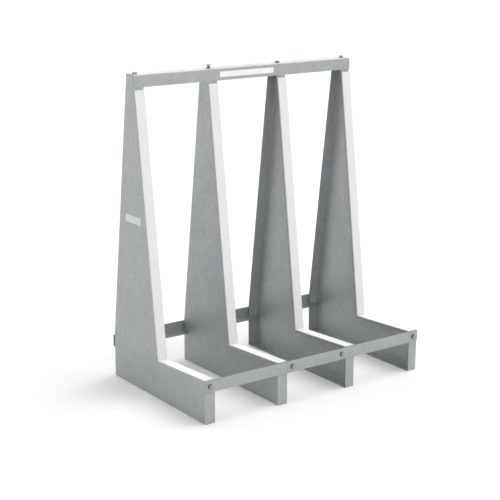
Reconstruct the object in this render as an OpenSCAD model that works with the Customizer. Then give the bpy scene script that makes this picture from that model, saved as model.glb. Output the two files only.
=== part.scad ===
// One-sided leaning rack for boards and sheets.
// Four folded sheet steel side frames stand on their feet and are tied by a top, a front and a back rail.
// White plastic liners cover the faces on which the boards stand and lean.
// X runs along the rack, the boards stand in front of the uprights (-Y), Z points up.
// The origin is under the middle of the rack, on the floor. All lengths are in millimetres.

/* [Rack] */
// Length over the two end frames
rack_length = 1266; // [900:2:2000]
// Height of the side frames
rack_h = 1500; // [1100:10:2000]
// Depth of the feet from their rear face to their front face
foot_depth = 800; // [640:10:1100]

/* [Side frames] */
// Width of a side frame over its flanges
frame_w = 53; // [44:1:80]
// Sheet thickness of the side frames
frame_t = 3; // [2:0.5:4]
// Height of the foot at its front
foot_front_h = 202; // [180:1:280]
// Fall of the foot's top from its front to the upright
foot_fall = 21; // [0:1:35]
// Depth of the upright where it leaves the foot
upright_root_depth = 399; // [320:1:480]
// Depth of the upright's flat top
upright_top_depth = 67; // [60:1:100]
// Distance by which the rear edge leans forward at the top
rear_lean = 168; // [100:1:200]
// Height at which the rear edge starts to lean
rear_kink_h = 210; // [200:1:400]
// Half of the open slit between two flanges at a corner
corner_gap = 0.5; // [0.5:0.5:6]

/* [Rails] */
// Height of a rail's upright leg
rail_lip = 58; // [50:1:70]
// Depth of the front and back rails' lying legs
rail_leg = 50; // [45:1:90]
// Sheet thickness of the rails
rail_t = 3; // [2:0.5:4]
// Inside bend radius of all the folded sheet
bend_r = 2; // [2:0.5:3]
// Rise of the front rail above the steel of the feet
front_rail_rise = 5; // [0:0.5:7]
// Height of the back rail's underside
back_rail_h = 147; // [120:1:160]
// Gap between the back rail's upright leg and the side frames
back_rail_gap = 8; // [4:0.5:15]

/* [Liners] */
// Thickness of the plastic liners
liner_t = 8; // [6:0.5:12]
// Radius of the liners' long outer edges
liner_edge_r = 5; // [2:0.5:5]
// Bare steel between an upright liner and the top rail's lip
liner_bare = 12; // [5:1:40]

/* [Fasteners] */
// Diameter of the bolts
bolt_d = 12; // [10:1:14]
// Width of the bolt heads and nuts across their flats
hex_af = 19; // [17:1:22]
// Height of a bolt head
bolt_head_h = 7.5; // [6:0.5:9]
// Height of a nut
nut_h = 10.8; // [8:0.1:12]
// Diameter of a washer
washer_d = 24; // [22:1:30]
// Thickness of a washer
washer_t = 2.5; // [1.5:0.5:3]
// Length of thread that stands out of a tight nut
bolt_tail = 6; // [3:0.5:12]
// How far the second top bolt stands up, not screwed home
loose_rise = 9; // [0:0.5:10]
// Distance of an inner front bolt from the free edge of its side frame
ear_bolt_reach = 28; // [20:1:40]

/* [Hidden] */
$fn = 64;

// Finishes
galvanised = [0.66, 0.68, 0.68];
white_plastic = [0.93, 0.93, 0.92];
dark_zinc = [0.40, 0.39, 0.38];

// Small clearances and cutting overruns
overrun = 1;
slot_play = 0.5;
liner_end_gap = 0.5;
liner_seat_gap = 0.3;
bolt_hole_play = 1;

// Frames: each side frame's web lies on its outer side, away from the rack's middle
frame_count = 4;
frame_pitch = (rack_length - frame_w) / (frame_count - 1);
frame_x = [for (i = [0 : frame_count - 1]) i * frame_pitch - rack_length / 2];
fold_r = frame_t + bend_r;

// The middle of a web laps into the strips beside its bends, and lies this much below their faces
web_lap = frame_t / 3;
web_relief = 0.05;

// Depth is measured forward from the feet's rear face, which lies so that the whole rack is centred on Y
front_reach = foot_depth + rail_t + washer_t + bolt_head_h;
back_reach = back_rail_gap + rail_t;
rear_y = (front_reach - back_reach) / 2;

// Side outline: a vertical land at the top of the upright takes the top rail's lip and ends level with it
land_h = rail_lip - rail_t;
top_front_depth = rear_lean + upright_top_depth;
outline = [
    at(foot_depth, 0),
    at(0, 0),
    at(0, rear_kink_h),
    at(rear_lean, rack_h),
    at(top_front_depth, rack_h),
    at(top_front_depth, rack_h - land_h),
    at(upright_root_depth, foot_front_h - foot_fall),
    at(foot_depth, foot_front_h)
];
upright_edge = 5;
foot_edge = 6;

// Rails
top_leg = upright_top_depth + rail_t;
front_rail_h = foot_front_h + front_rail_rise - rail_lip;
back_leg_reach = rail_leg - back_reach;
front_leg_reach = rail_leg - rail_t;
back_slot_h = rail_t + slot_play;
front_slot_h = rail_t + bend_r + slot_play;

// Bolts
bolt_hole_d = bolt_d + bolt_hole_play;
top_bolt_depth = rear_lean + upright_top_depth / 2;
front_bolt_h = front_rail_h + rail_lip / 2;
grip = rail_t + frame_t;
ear_w = ear_bolt_reach + washer_d;
ear_h = 2 * (foot_front_h - front_bolt_h) - 3 * frame_t;
ear_r = ear_h / 4;
top_bolt_rise = [0, loose_rise, 0, 0];
top_bolt_x = [for (x = frame_x) x + frame_w / 2];
front_bolt_x = [
    top_bolt_x[0],
    frame_x[1] + frame_w + ear_bolt_reach,
    frame_x[2] - ear_bolt_reach,
    top_bolt_x[3]
];

// A point of the side view, from its depth in front of the rear face and its height
function at(depth, height) = [rear_y - depth, height];

// Unit normal of the edge from p to q, to its left
function left_normal(p, q) = let (e = (q - p) / norm(q - p)) [-e[1], e[0]];

// The outline drawn in by a distance, with mitred corners
function inset(points, distance) = [
    for (i = [0 : len(points) - 1])
        let (
            count = len(points),
            a = left_normal(points[(i + count - 1) % count], points[i]),
            b = left_normal(points[i], points[(i + 1) % count])
        )
        points[i] + distance * (a + b) / (1 + a * b)
];

// Stands a shape drawn in the side view (Y, Z) up and extrudes it along X
module side_extrude(width) {
    rotate([90, 0, 90])
        linear_extrude(width)
            children();
}

// Profile of a folded angle: one leg along x, one along y, the outside of the bend at the origin
module folded_angle(leg_x, leg_y, thickness) {
    outer = thickness + bend_r;
    translate([outer, 0])
        square([leg_x - outer, thickness]);
    translate([0, outer])
        square([thickness, leg_y - outer]);
    translate([outer, outer])
        intersection() {
            difference() {
                circle(outer);
                circle(bend_r);
            }
            translate([-outer, -outer])
                square(outer);
        }
}

// Puts a profile on an edge of the outline and runs it along that edge, past its start and its end.
// Profile x points into the frame, profile y along the frame's width.
module along_edge(index, before, after) {
    p = outline[index];
    q = outline[(index + 1) % len(outline)];
    e = q - p;
    rotate([90, 0, 90])
        translate([p[0], p[1], 0])
            rotate([90, 0, 90 + atan2(e[1], e[0])])
                translate([0, 0, -before])
                    linear_extrude(norm(e) + before + after)
                        children();
}

// The stretch of the frame's border that belongs to one edge, cut back at both corners
module edge_zone(index) {
    next = (index + 1) % len(outline);
    outer = inset(outline, -overrun);
    inner = inset(outline, fold_r + web_lap);
    e = outline[next] - outline[index];
    back = corner_gap * e / norm(e);
    translate([-overrun, 0, 0])
        side_extrude(frame_w + 2 * overrun)
            polygon([outer[index] + back, outer[next] - back, inner[next] - back, inner[index] + back]);
}

// One flange with its bend and a strip of the web beside it, trimmed to its edge's stretch
module flange(index) {
    intersection() {
        along_edge(index, frame_w, frame_w)
            folded_angle(fold_r + 2 * web_lap, frame_w, frame_t);
        edge_zone(index);
    }
}

// Web and flanges of a side frame, with the outside of the web on x = 0
module folded_cassette() {
    translate([web_relief, 0, 0])
        side_extrude(frame_t - 2 * web_relief)
            polygon(inset(outline, fold_r + web_lap / 2));
    for (index = [0 : len(outline) - 1])
        flange(index);
}

// Slots that let the lying legs of the front and back rails into the frame, open to the front and the rear
module rail_slots(from_x) {
    slot_w = frame_w + overrun - from_x;
    translate([from_x, rear_y - back_leg_reach - slot_play, back_rail_h])
        cube([slot_w, back_leg_reach + slot_play + overrun, back_slot_h]);
    translate([from_x, rear_y - foot_depth - overrun, front_rail_h])
        cube([slot_w, front_leg_reach + slot_play + overrun, front_slot_h]);
}

module bolt_hole_z(x, y, z, wall) {
    translate([x, y, z - wall - overrun])
        cylinder(d = bolt_hole_d, h = wall + 2 * overrun);
}

module bolt_hole_y(x, y, z, wall) {
    translate([x, y - overrun, z])
        rotate([-90, 0, 0])
            cylinder(d = bolt_hole_d, h = wall + 2 * overrun);
}

// Ear on the free edge of an inner frame's front flange, which takes the front rail's bolt
module front_ear() {
    translate([frame_w, rear_y - foot_depth + frame_t, front_bolt_h - ear_h / 2])
        rotate([90, 0, 0])
            linear_extrude(frame_t) {
                translate([-ear_r, 0])
                    square([ear_w, ear_h]);
                translate([0, ear_r])
                    square([ear_w, ear_h - 2 * ear_r]);
                for (height = [ear_r, ear_h - ear_r])
                    translate([ear_w - ear_r, height])
                        circle(ear_r);
            }
}

// Side frame with its web to the left, the end one bolted through its flange, the inner one through its ear
module side_frame(is_end) {
    color(galvanised)
        difference() {
            union() {
                folded_cassette();
                if (!is_end)
                    front_ear();
            }
            rail_slots(is_end ? frame_t + slot_play : -overrun);
            bolt_hole_z(frame_w / 2, rear_y - top_bolt_depth, rack_h, frame_t);
            bolt_hole_y(
                is_end ? frame_w / 2 : frame_w + ear_bolt_reach, rear_y - foot_depth, front_bolt_h, frame_t
            );
        }
}

module end_frame_left() {
    translate([frame_x[0], 0, 0])
        side_frame(true);
}

module inner_frame_left() {
    translate([frame_x[1], 0, 0])
        side_frame(false);
}

module inner_frame_right() {
    mirror([1, 0, 0])
        inner_frame_left();
}

module end_frame_right() {
    mirror([1, 0, 0])
        end_frame_left();
}

// Profile of a liner: flat on the flange, its two long outer edges rounded
module liner_profile() {
    translate([liner_edge_r - liner_t, 0])
        square([liner_t - liner_edge_r, frame_w]);
    translate([-liner_t, liner_edge_r])
        square([liner_t, frame_w - 2 * liner_edge_r]);
    for (across = [liner_edge_r, frame_w - liner_edge_r])
        translate([liner_edge_r - liner_t, across])
            intersection() {
                circle(liner_edge_r);
                translate([-liner_edge_r, -liner_edge_r])
                    square([liner_edge_r, 2 * liner_edge_r]);
            }
}

module upright_liner(number) {
    color(white_plastic)
        translate([frame_x[number - 1], 0, 0])
            along_edge(upright_edge, -liner_bare, -liner_t - liner_seat_gap)
                liner_profile();
}

module foot_liner(number) {
    color(white_plastic)
        translate([frame_x[number - 1], 0, 0])
            along_edge(foot_edge, -liner_end_gap, -liner_end_gap)
                liner_profile();
}

// Straight rail of folded angle along X, its bend's outside at the given depth and height.
// A lying leg of positive length points to the rear, an upright leg of positive length points up.
module rail_bar(depth, height, lying, upright) {
    translate([-rack_length / 2, rear_y - depth, height])
        side_extrude(rack_length)
            mirror([lying < 0 ? 1 : 0, 0])
                mirror([0, upright < 0 ? 1 : 0])
                    folded_angle(abs(lying), abs(upright), rail_t);
}

module top_rail() {
    color(galvanised)
        difference() {
            rail_bar(top_front_depth + rail_t, rack_h + rail_t, top_leg, -rail_lip);
            for (x = top_bolt_x)
                bolt_hole_z(x, rear_y - top_bolt_depth, rack_h + rail_t, rail_t);
        }
}

// Notches at both ends of a lying leg, which keep it inside the end frames' webs
module end_notches(near_depth, far_depth, height) {
    notch_w = frame_t + 2 * slot_play;
    for (side = [0, 1])
        mirror([side, 0, 0])
            translate([-rack_length / 2 - overrun, rear_y - far_depth, height - overrun])
                cube([notch_w + overrun, far_depth - near_depth, front_slot_h + 2 * overrun]);
}

module front_rail() {
    color(galvanised)
        difference() {
            rail_bar(foot_depth + rail_t, front_rail_h, rail_leg, rail_lip);
            for (x = front_bolt_x)
                bolt_hole_y(x, rear_y - foot_depth - rail_t, front_bolt_h, rail_t);
            end_notches(foot_depth - rail_leg, foot_depth, front_rail_h);
        }
}

module back_rail() {
    color(galvanised)
        difference() {
            rail_bar(-back_reach, back_rail_h, -rail_leg, rail_lip);
            end_notches(-slot_play, rail_leg, back_rail_h);
        }
}

// Bolt along +z: its head's seat at z = 0, its shank below
module bolt(rise = 0) {
    shank = grip + 2 * washer_t + nut_h + bolt_tail;
    translate([0, 0, rise]) {
        cylinder(d = hex_af / cos(30), h = bolt_head_h, $fn = 6);
        translate([0, 0, -shank])
            cylinder(d = bolt_d, h = shank);
    }
}

// The two washers of a bolt, one under its head and one under its nut
module washer_pair() {
    for (z = [-washer_t, -grip - 2 * washer_t])
        translate([0, 0, z])
            difference() {
                cylinder(d = washer_d, h = washer_t);
                translate([0, 0, -overrun])
                    cylinder(d = bolt_hole_d, h = washer_t + 2 * overrun);
            }
}

module nut() {
    translate([0, 0, -grip - 2 * washer_t - nut_h])
        difference() {
            cylinder(d = hex_af / cos(30), h = nut_h, $fn = 6);
            translate([0, 0, -overrun])
                cylinder(d = bolt_d, h = nut_h + 2 * overrun);
        }
}

// Puts a fastener through the top rail, head up
module on_top(x) {
    translate([x, rear_y - top_bolt_depth, rack_h + rail_t + washer_t])
        children();
}

// Puts a fastener through the front rail, head to the front
module on_front(x) {
    translate([x, rear_y - foot_depth - rail_t - washer_t, front_bolt_h])
        rotate([90, 0, 0])
            children();
}

module top_bolts() {
    color(dark_zinc)
        for (i = [0 : frame_count - 1])
            on_top(top_bolt_x[i])
                bolt(top_bolt_rise[i]);
}

module top_washers() {
    color(dark_zinc)
        for (x = top_bolt_x)
            on_top(x)
                washer_pair();
}

module top_nuts() {
    color(dark_zinc)
        for (x = top_bolt_x)
            on_top(x)
                nut();
}

module front_bolts() {
    color(dark_zinc)
        for (x = front_bolt_x)
            on_front(x)
                bolt();
}

module front_washers() {
    color(dark_zinc)
        for (x = front_bolt_x)
            on_front(x)
                washer_pair();
}

module front_nuts() {
    color(dark_zinc)
        for (x = front_bolt_x)
            on_front(x)
                nut();
}

end_frame_left();
inner_frame_left();
inner_frame_right();
end_frame_right();
upright_liner(1);  // upright_liner_1
upright_liner(2);  // upright_liner_2
upright_liner(3);  // upright_liner_3
upright_liner(4);  // upright_liner_4
foot_liner(1);  // foot_liner_1
foot_liner(2);  // foot_liner_2
foot_liner(3);  // foot_liner_3
foot_liner(4);  // foot_liner_4
top_rail();
front_rail();
back_rail();
top_bolts();
top_washers();
top_nuts();
front_bolts();
front_washers();
front_nuts();
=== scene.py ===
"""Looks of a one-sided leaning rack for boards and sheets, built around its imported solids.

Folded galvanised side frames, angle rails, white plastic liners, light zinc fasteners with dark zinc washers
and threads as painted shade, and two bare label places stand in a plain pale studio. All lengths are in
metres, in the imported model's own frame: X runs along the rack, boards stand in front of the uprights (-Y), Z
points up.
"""

import logging
import math
from abc import ABC, abstractmethod
from dataclasses import dataclass, field
from enum import Enum
from itertools import product
from typing import Any, Sequence

import bmesh
import bpy
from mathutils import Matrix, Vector

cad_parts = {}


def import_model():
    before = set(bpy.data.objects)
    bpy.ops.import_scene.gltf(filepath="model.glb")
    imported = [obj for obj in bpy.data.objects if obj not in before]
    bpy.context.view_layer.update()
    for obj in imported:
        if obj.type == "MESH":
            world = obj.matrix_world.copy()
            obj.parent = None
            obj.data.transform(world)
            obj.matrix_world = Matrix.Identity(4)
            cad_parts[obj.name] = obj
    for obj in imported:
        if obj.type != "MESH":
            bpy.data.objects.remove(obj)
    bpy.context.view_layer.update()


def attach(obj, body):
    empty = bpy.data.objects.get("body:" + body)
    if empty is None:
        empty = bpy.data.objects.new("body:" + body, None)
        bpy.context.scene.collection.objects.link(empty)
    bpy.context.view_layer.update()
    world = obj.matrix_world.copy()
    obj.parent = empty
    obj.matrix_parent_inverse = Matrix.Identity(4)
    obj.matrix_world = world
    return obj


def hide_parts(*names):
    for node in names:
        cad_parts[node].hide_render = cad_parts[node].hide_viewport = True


LOG = logging.getLogger("rack")
BODY = "root"
ARC_STEPS = 8
CUT_OVERRUN = 0.002
EDGE_EASE = 0.0004
MATERIAL_SLOTS = 2
SMOOTH_UNDER = math.radians(32)
VECTOR = "NodeSocketVector"
GEOMETRY = "NodeSocketGeometry"
MATERIAL = "NodeSocketMaterial"
WHITE = (1.0, 1.0, 1.0, 1.0)
RIGHT = Vector((1, 0, 0))
REARWARD = Vector((0, 1, 0))
UP = Vector((0, 0, 1))

Range = tuple[float, float]
Triple = tuple[float, float, float]
Colour = Triple
Profile = list[Range]
Paint = tuple[Any, Any, Any]
Points = Sequence[Sequence[float]]
Faces = Sequence[Sequence[int]]
Piece = bpy.types.Object
Material = bpy.types.Material
Node = bpy.types.Node
NodeSocket = bpy.types.NodeSocket
NodeTree = bpy.types.NodeTree


class Slot(Enum):
    """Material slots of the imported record."""

    GALVANISED = "galvanised_sheet"
    PLASTIC = "white_plastic"
    FASTENER = "zinc_fastener"


class Side(Enum):
    """Which way a side frame's flanges point from its web."""

    TO_THE_RIGHT = 1
    TO_THE_LEFT = -1


class Run(Enum):
    """Direction in which a plastic liner was extruded, as stretch factors of its grain along X, Y and Z."""

    UPRIGHT = (1.0, 1.0, 0.02)
    ALONG_FOOT = (1.0, 0.02, 1.0)


@dataclass(frozen=True)
class RackSizes:
    """Sizes of the rack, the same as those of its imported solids."""

    length: float = 1.266
    height: float = 1.5
    foot_depth: float = 0.8
    frame_width: float = 0.053
    sheet: float = 0.003
    bend_radius: float = 0.002
    foot_front_height: float = 0.202
    foot_fall: float = 0.021
    upright_root_depth: float = 0.399
    upright_top_depth: float = 0.067
    rear_lean: float = 0.168
    rear_kink_height: float = 0.21
    corner_gap: float = 0.0005
    rail_lip: float = 0.058
    rail_leg: float = 0.05
    front_rail_rise: float = 0.005
    back_rail_height: float = 0.147
    back_rail_gap: float = 0.008
    slot_play: float = 0.0005
    liner: float = 0.008
    liner_edge_radius: float = 0.005
    liner_bare: float = 0.012
    liner_end_gap: float = 0.0005
    liner_seat_gap: float = 0.0003
    bolt: float = 0.012
    bolt_hole: float = 0.013
    hex_flats: float = 0.019
    bolt_head: float = 0.0075
    nut: float = 0.0108
    washer: float = 0.024
    washer_thickness: float = 0.0025
    bolt_tail: float = 0.006
    loose_rise: float = 0.009
    ear_bolt_reach: float = 0.028

    @property
    def fold(self) -> float:
        """Outside radius of a bend."""
        return self.sheet + self.bend_radius

    @property
    def rear_y(self) -> float:
        """Y of the feet's rear faces."""
        ahead = self.foot_depth + self.sheet + self.washer_thickness + self.bolt_head
        behind = self.back_rail_gap + self.sheet
        return (ahead - behind) / 2

    @property
    def front_y(self) -> float:
        """Y of the feet's front faces."""
        return self.rear_y - self.foot_depth

    @property
    def top_front_depth(self) -> float:
        """Depth of the uprights' front at the top, ahead of the feet's rear faces."""
        return self.rear_lean + self.upright_top_depth

    @property
    def top_rail_front(self) -> float:
        """Y of the top rail's front face."""
        return self.rear_y - self.top_front_depth - self.sheet

    @property
    def top_rail_top(self) -> float:
        """Height of the top rail's upper face."""
        return self.height + self.sheet

    @property
    def front_rail_front(self) -> float:
        """Y of the front rail's front face."""
        return self.front_y - self.sheet

    @property
    def front_rail_height(self) -> float:
        """Height of the front rail's underside."""
        return self.foot_front_height + self.front_rail_rise - self.rail_lip

    @property
    def front_bolt_height(self) -> float:
        """Height of the front bolts' axes."""
        return self.front_rail_height + self.rail_lip / 2

    @property
    def top_bolt_y(self) -> float:
        """Y of the top bolts' axes."""
        return self.rear_y - self.rear_lean - self.upright_top_depth / 2

    @property
    def web_x(self) -> list[float]:
        """X of the four side frames' left faces."""
        pitch = (self.length - self.frame_width) / 3
        return [number * pitch - self.length / 2 for number in range(4)]

    @property
    def top_bolt_x(self) -> list[float]:
        """X of the four top bolts."""
        return [x + self.frame_width / 2 for x in self.web_x]

    @property
    def front_bolt_x(self) -> list[float]:
        """X of the four front bolts, the inner two beside their frames."""
        left, inner_left, inner_right, right = self.web_x
        return [
            left + self.frame_width / 2,
            inner_left + self.frame_width + self.ear_bolt_reach,
            inner_right - self.ear_bolt_reach,
            right + self.frame_width / 2,
        ]

    def at(self, depth: float, height: float) -> Vector:
        """Point of the side view (Y, Z) at a depth ahead of the feet's rear faces and a height."""
        return Vector((self.rear_y - depth, height))

    def outline(self) -> list[Vector]:
        """Side frame's outline in the side view, from the foot's toe round by the rear and the top."""
        land = self.height - (self.rail_lip - self.sheet)
        return [
            self.at(self.foot_depth, 0),
            self.at(0, 0),
            self.at(0, self.rear_kink_height),
            self.at(self.rear_lean, self.height),
            self.at(self.top_front_depth, self.height),
            self.at(self.top_front_depth, land),
            self.at(self.upright_root_depth, self.foot_front_height - self.foot_fall),
            self.at(self.foot_depth, self.foot_front_height),
        ]


def new_object(name: str, data: bpy.types.ID) -> Piece:
    """Links a mesh, a lamp or a camera to the scene as an object at the origin."""
    piece = bpy.data.objects.new(name, data)
    bpy.context.scene.collection.objects.link(piece)
    return piece


def mesh_piece(name: str, points: Points, faces: Faces, cut_faces: Sequence[int] = ()) -> Piece:
    """Makes an object of a closed mesh with its faces turned outwards.

    Args:
        name: Name of the piece.
        points: Corners in metres.
        faces: Corner numbers of each face.
        cut_faces: Numbers of the faces that are cut edges of sheet, which get the second material.

    Returns:
        The object, at the origin.
    """
    mesh = bpy.data.meshes.new(name)
    mesh.from_pydata([tuple(point) for point in points], [], [tuple(face) for face in faces])
    for _ in range(MATERIAL_SLOTS):
        mesh.materials.append(None)
    for number in cut_faces:
        mesh.polygons[number].material_index = 1
    shape = bmesh.new()
    shape.from_mesh(mesh)
    bmesh.ops.recalc_face_normals(shape, faces=shape.faces)
    shape.to_mesh(mesh)
    shape.free()
    return new_object(name, mesh)


def bake(piece: Piece) -> Piece:
    """Turns a piece with modifiers into a plain mesh object of the same name."""
    graph = bpy.context.evaluated_depsgraph_get()
    source = piece.evaluated_get(graph)
    mesh = bpy.data.meshes.new_from_object(source, preserve_all_data_layers=True, depsgraph=graph)
    name = piece.name
    bpy.data.objects.remove(piece)
    mesh.name = name
    return new_object(name, mesh)


def smooth_by_angle(mesh: bpy.types.Mesh, angle: float = SMOOTH_UNDER) -> None:
    """Shades a mesh smooth except along edges sharper than an angle."""
    mesh.shade_smooth()
    mesh.set_sharp_from_angle(angle=angle)


def add_booleans(piece: Piece, others: Sequence[Piece], how: str) -> None:
    """Adds a Boolean modifier to a piece for every other object."""
    for other in others:
        step = piece.modifiers.new(how.lower(), "BOOLEAN")
        step.operation = how
        step.solver = "EXACT"
        step.object = other


def bake_without(piece: Piece, others: Sequence[Piece]) -> Piece:
    """Turns a piece into a plain one, then removes the objects that its modifiers used."""
    done = bake(piece)
    for other in others:
        bpy.data.objects.remove(other)
    return done


def ease_edges(piece: Piece, width: float = EDGE_EASE, recesses: Sequence[Piece] = ()) -> Piece:
    """Rounds a piece's sharp edges a little and keeps its flat faces flat in shading.

    Args:
        piece: The piece to work on.
        width: Width of the rounding.
        recesses: Cutters of recesses shallower than the rounding, whose edges stay sharp. They are used up.

    Returns:
        The new plain piece.
    """
    smooth_by_angle(piece.data)
    bevel = piece.modifiers.new("ease", "BEVEL")
    bevel.width = width
    bevel.segments = 2
    bevel.limit_method = "ANGLE"
    bevel.angle_limit = SMOOTH_UNDER
    bevel.miter_outer = "MITER_ARC"
    add_booleans(piece, recesses, "DIFFERENCE")
    weighted = piece.modifiers.new("flat", "WEIGHTED_NORMAL")
    weighted.keep_sharp = True
    return bake_without(piece, recesses)


def box_cutter(low: Sequence[float], high: Sequence[float]) -> Piece:
    """Box between two corners, whose faces leave cut edges."""
    lows, highs = zip(*(sorted(pair) for pair in zip(low, high)))
    corners = list(product(*zip(lows, highs)))
    faces = [(0, 1, 3, 2), (4, 6, 7, 5), (0, 4, 5, 1), (2, 3, 7, 6), (0, 2, 6, 4), (1, 5, 7, 3)]
    return mesh_piece("cutter", corners, faces, range(len(faces)))


def combine(piece: Piece, others: Sequence[Piece], how: str) -> Piece:
    """Cuts other objects from a piece or joins them to it, and removes them.

    Args:
        piece: The piece to work on.
        others: Cutters or additions, which are used up.
        how: DIFFERENCE or UNION.

    Returns:
        The new plain piece.
    """
    add_booleans(piece, others, how)
    return bake_without(piece, others)


def arc(centre: tuple[float, float], radius: float, start: float, stop: float) -> Profile:
    """Points of an arc about a centre between two angles in degrees, both ends included."""
    turns = [math.radians(start + (stop - start) * step / ARC_STEPS) for step in range(ARC_STEPS + 1)]
    return [(centre[0] + radius * math.cos(turn), centre[1] + radius * math.sin(turn)) for turn in turns]


def tongue(root: float, tip: float, low: float, high: float, radius: float) -> Profile:
    """Rectangle with its two corners at the tip rounded, as (from root to tip, from low to high)."""
    return [
        (root, low),
        *arc((tip - radius, low + radius), radius, 270, 360),
        *arc((tip - radius, high - radius), radius, 0, 90),
        (root, high),
    ]


def prism(
    name: str, profile: Profile, start: Sequence[float], stop: Sequence[float],
    across: Vector, up: Vector = UP, is_cutter: bool = False,
) -> Piece:
    """Runs a closed profile along a straight line.

    Args:
        name: Name of the piece.
        profile: Corners of the profile, in order.
        start: Point where the profile's origin starts.
        stop: Point where it ends.
        across: Direction of the profile's first coordinate.
        up: Direction of its second coordinate.
        is_cutter: Whether its sides leave cut edges too.

    Returns:
        The solid, its two ends marked as cut faces.
    """
    count = len(profile)
    points = [Vector(end) + a * across + b * up for end in (start, stop) for a, b in profile]
    sides = [(n, (n + 1) % count, count + (n + 1) % count, count + n) for n in range(count)]
    ends = [tuple(range(count)), tuple(range(count, 2 * count))]
    return mesh_piece(name, points, sides + ends, range(0 if is_cutter else count, count + len(ends)))


def round_cutter(centre: Sequence[float], run: Vector, diameter: float, reach: float) -> Piece:
    """Round rod through a point, running rearward or up, whose faces leave cut edges."""
    steps = 6 * ARC_STEPS
    turns = [math.tau * step / steps for step in range(steps)]
    ring = [(diameter / 2 * math.cos(turn), diameter / 2 * math.sin(turn)) for turn in turns]
    ends = [Vector(centre) + run * end for end in (-reach, reach)]
    return prism("cutter", ring, *ends, RIGHT, REARWARD if run is UP else UP, True)


def bolt_holes(spots: Points, run: Vector, sizes: RackSizes) -> list[Piece]:
    """Cutters of bolt holes through sheet at some spots, running rearward or up."""
    return [round_cutter(spot, run, sizes.bolt_hole, sizes.sheet + CUT_OVERRUN) for spot in spots]


def settle(piece: Piece, materials: Sequence[Material], nodes: Sequence[str] = ()) -> None:
    """Dresses a finished piece, lets it ride on the rack and stand for its CAD nodes.

    Args:
        piece: The finished piece.
        materials: Its materials, none where they are set already.
        nodes: The CAD nodes that it replaces.
    """
    for number, material in enumerate(materials):
        piece.data.materials[number] = material
    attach(piece, BODY)
    if nodes:
        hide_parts(*nodes)
    LOG.info("%s: %d faces", piece.name, len(piece.data.polygons))


@dataclass(frozen=True)
class Noise:
    """Settings of a noise texture: its scale, its octaves of detail and their roughness."""

    scale: float
    detail: float = 2.0
    rough: float = 0.5


class Tree:
    """Short hand for making and joining the nodes of one tree."""

    def __init__(self, tree: NodeTree) -> None:
        """Works on a tree."""
        self.tree = tree

    def feed(self, socket: NodeSocket, value: Any) -> None:
        """Gives an input a plain value, or joins an output to it."""
        if isinstance(value, Node):
            value = value.outputs[0]
        if isinstance(value, NodeSocket):
            self.tree.links.new(value, socket)
        else:
            socket.default_value = value

    def node(self, kind: str, feeds: dict[str | int, Any] | None = None, **settings: Any) -> Node:
        """Adds a node.

        Args:
            kind: Name of the node type.
            feeds: Values or outputs for its inputs, by name or number.
            settings: Its own properties.

        Returns:
            The node.
        """
        made = self.tree.nodes.new(kind)
        for name, value in settings.items():
            setattr(made, name, value)
        for key, value in (feeds or {}).items():
            self.feed(made.inputs[key], value)
        return made

    def calculate(self, operation: str, first: Any, second: Any = 0.0, clamp: bool = False) -> NodeSocket:
        """Result of a Math node."""
        made = self.node("ShaderNodeMath", {0: first, 1: second}, operation=operation, use_clamp=clamp)
        return made.outputs[0]

    def times(self, first: Any, second: Any) -> NodeSocket:
        """Product of two values."""
        return self.calculate("MULTIPLY", first, second)

    def vector(self, operation: str, first: Any, second: Any) -> NodeSocket:
        """Result of a Vector Math node, whose second value is a factor where the operation is SCALE."""
        key = "Scale" if operation == "SCALE" else 1
        return self.node("ShaderNodeVectorMath", {0: first, key: second}, operation=operation).outputs[0]

    def spread(self, value: Any, source: Range, target: Range = (0.0, 1.0)) -> NodeSocket:
        """Value mapped from one range to another and kept inside it."""
        feeds = {"Value": value, "From Min": source[0], "From Max": source[1]}
        feeds |= {"To Min": target[0], "To Max": target[1]}
        return self.node("ShaderNodeMapRange", feeds).outputs[0]

    def blend_colours(self, share: Any, first: Any, second: Any) -> NodeSocket:
        """Mix of two colours, each one a plain colour or an output."""
        ends = [(*colour, 1.0) if isinstance(colour, tuple) else colour for colour in (first, second)]
        feeds = {0: share, 6: ends[0], 7: ends[1]}
        return self.node("ShaderNodeMix", feeds, data_type="RGBA").outputs[2]

    def noise(self, vector: Any, noise: Noise, output: str = "Fac") -> NodeSocket:
        """Output of a noise texture."""
        feeds = {"Vector": vector, "Scale": noise.scale, "Detail": noise.detail, "Roughness": noise.rough}
        return self.node("ShaderNodeTexNoise", feeds).outputs[output]


@dataclass(frozen=True)
class Socket:
    """One input or output of a node group."""

    name: str
    kind: str = "NodeSocketFloat"
    value: float | None = None
    subtype: str = "NONE"


def open_group(name: str, kind: str, inputs: Sequence[Socket], outputs: Sequence[Socket]) -> NodeTree:
    """Makes an empty node group of a kind, with named inputs and outputs."""
    group = bpy.data.node_groups.new(name, kind)
    for direction, sockets in (("INPUT", inputs), ("OUTPUT", outputs)):
        for socket in sockets:
            made = group.interface.new_socket(name=socket.name, in_out=direction, socket_type=socket.kind)
            if socket.value is not None:
                made.subtype = socket.subtype
                made.default_value = socket.value
    return group


def apply_group(tree: Tree, group: NodeTree, **feeds: Any) -> Node:
    """Adds a node group, its inputs named with underscores for spaces."""
    made = tree.node("ShaderNodeGroup", node_tree=group)
    for name, value in feeds.items():
        tree.feed(made.inputs[name.replace("_", " ").title()], value)
    return made


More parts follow.
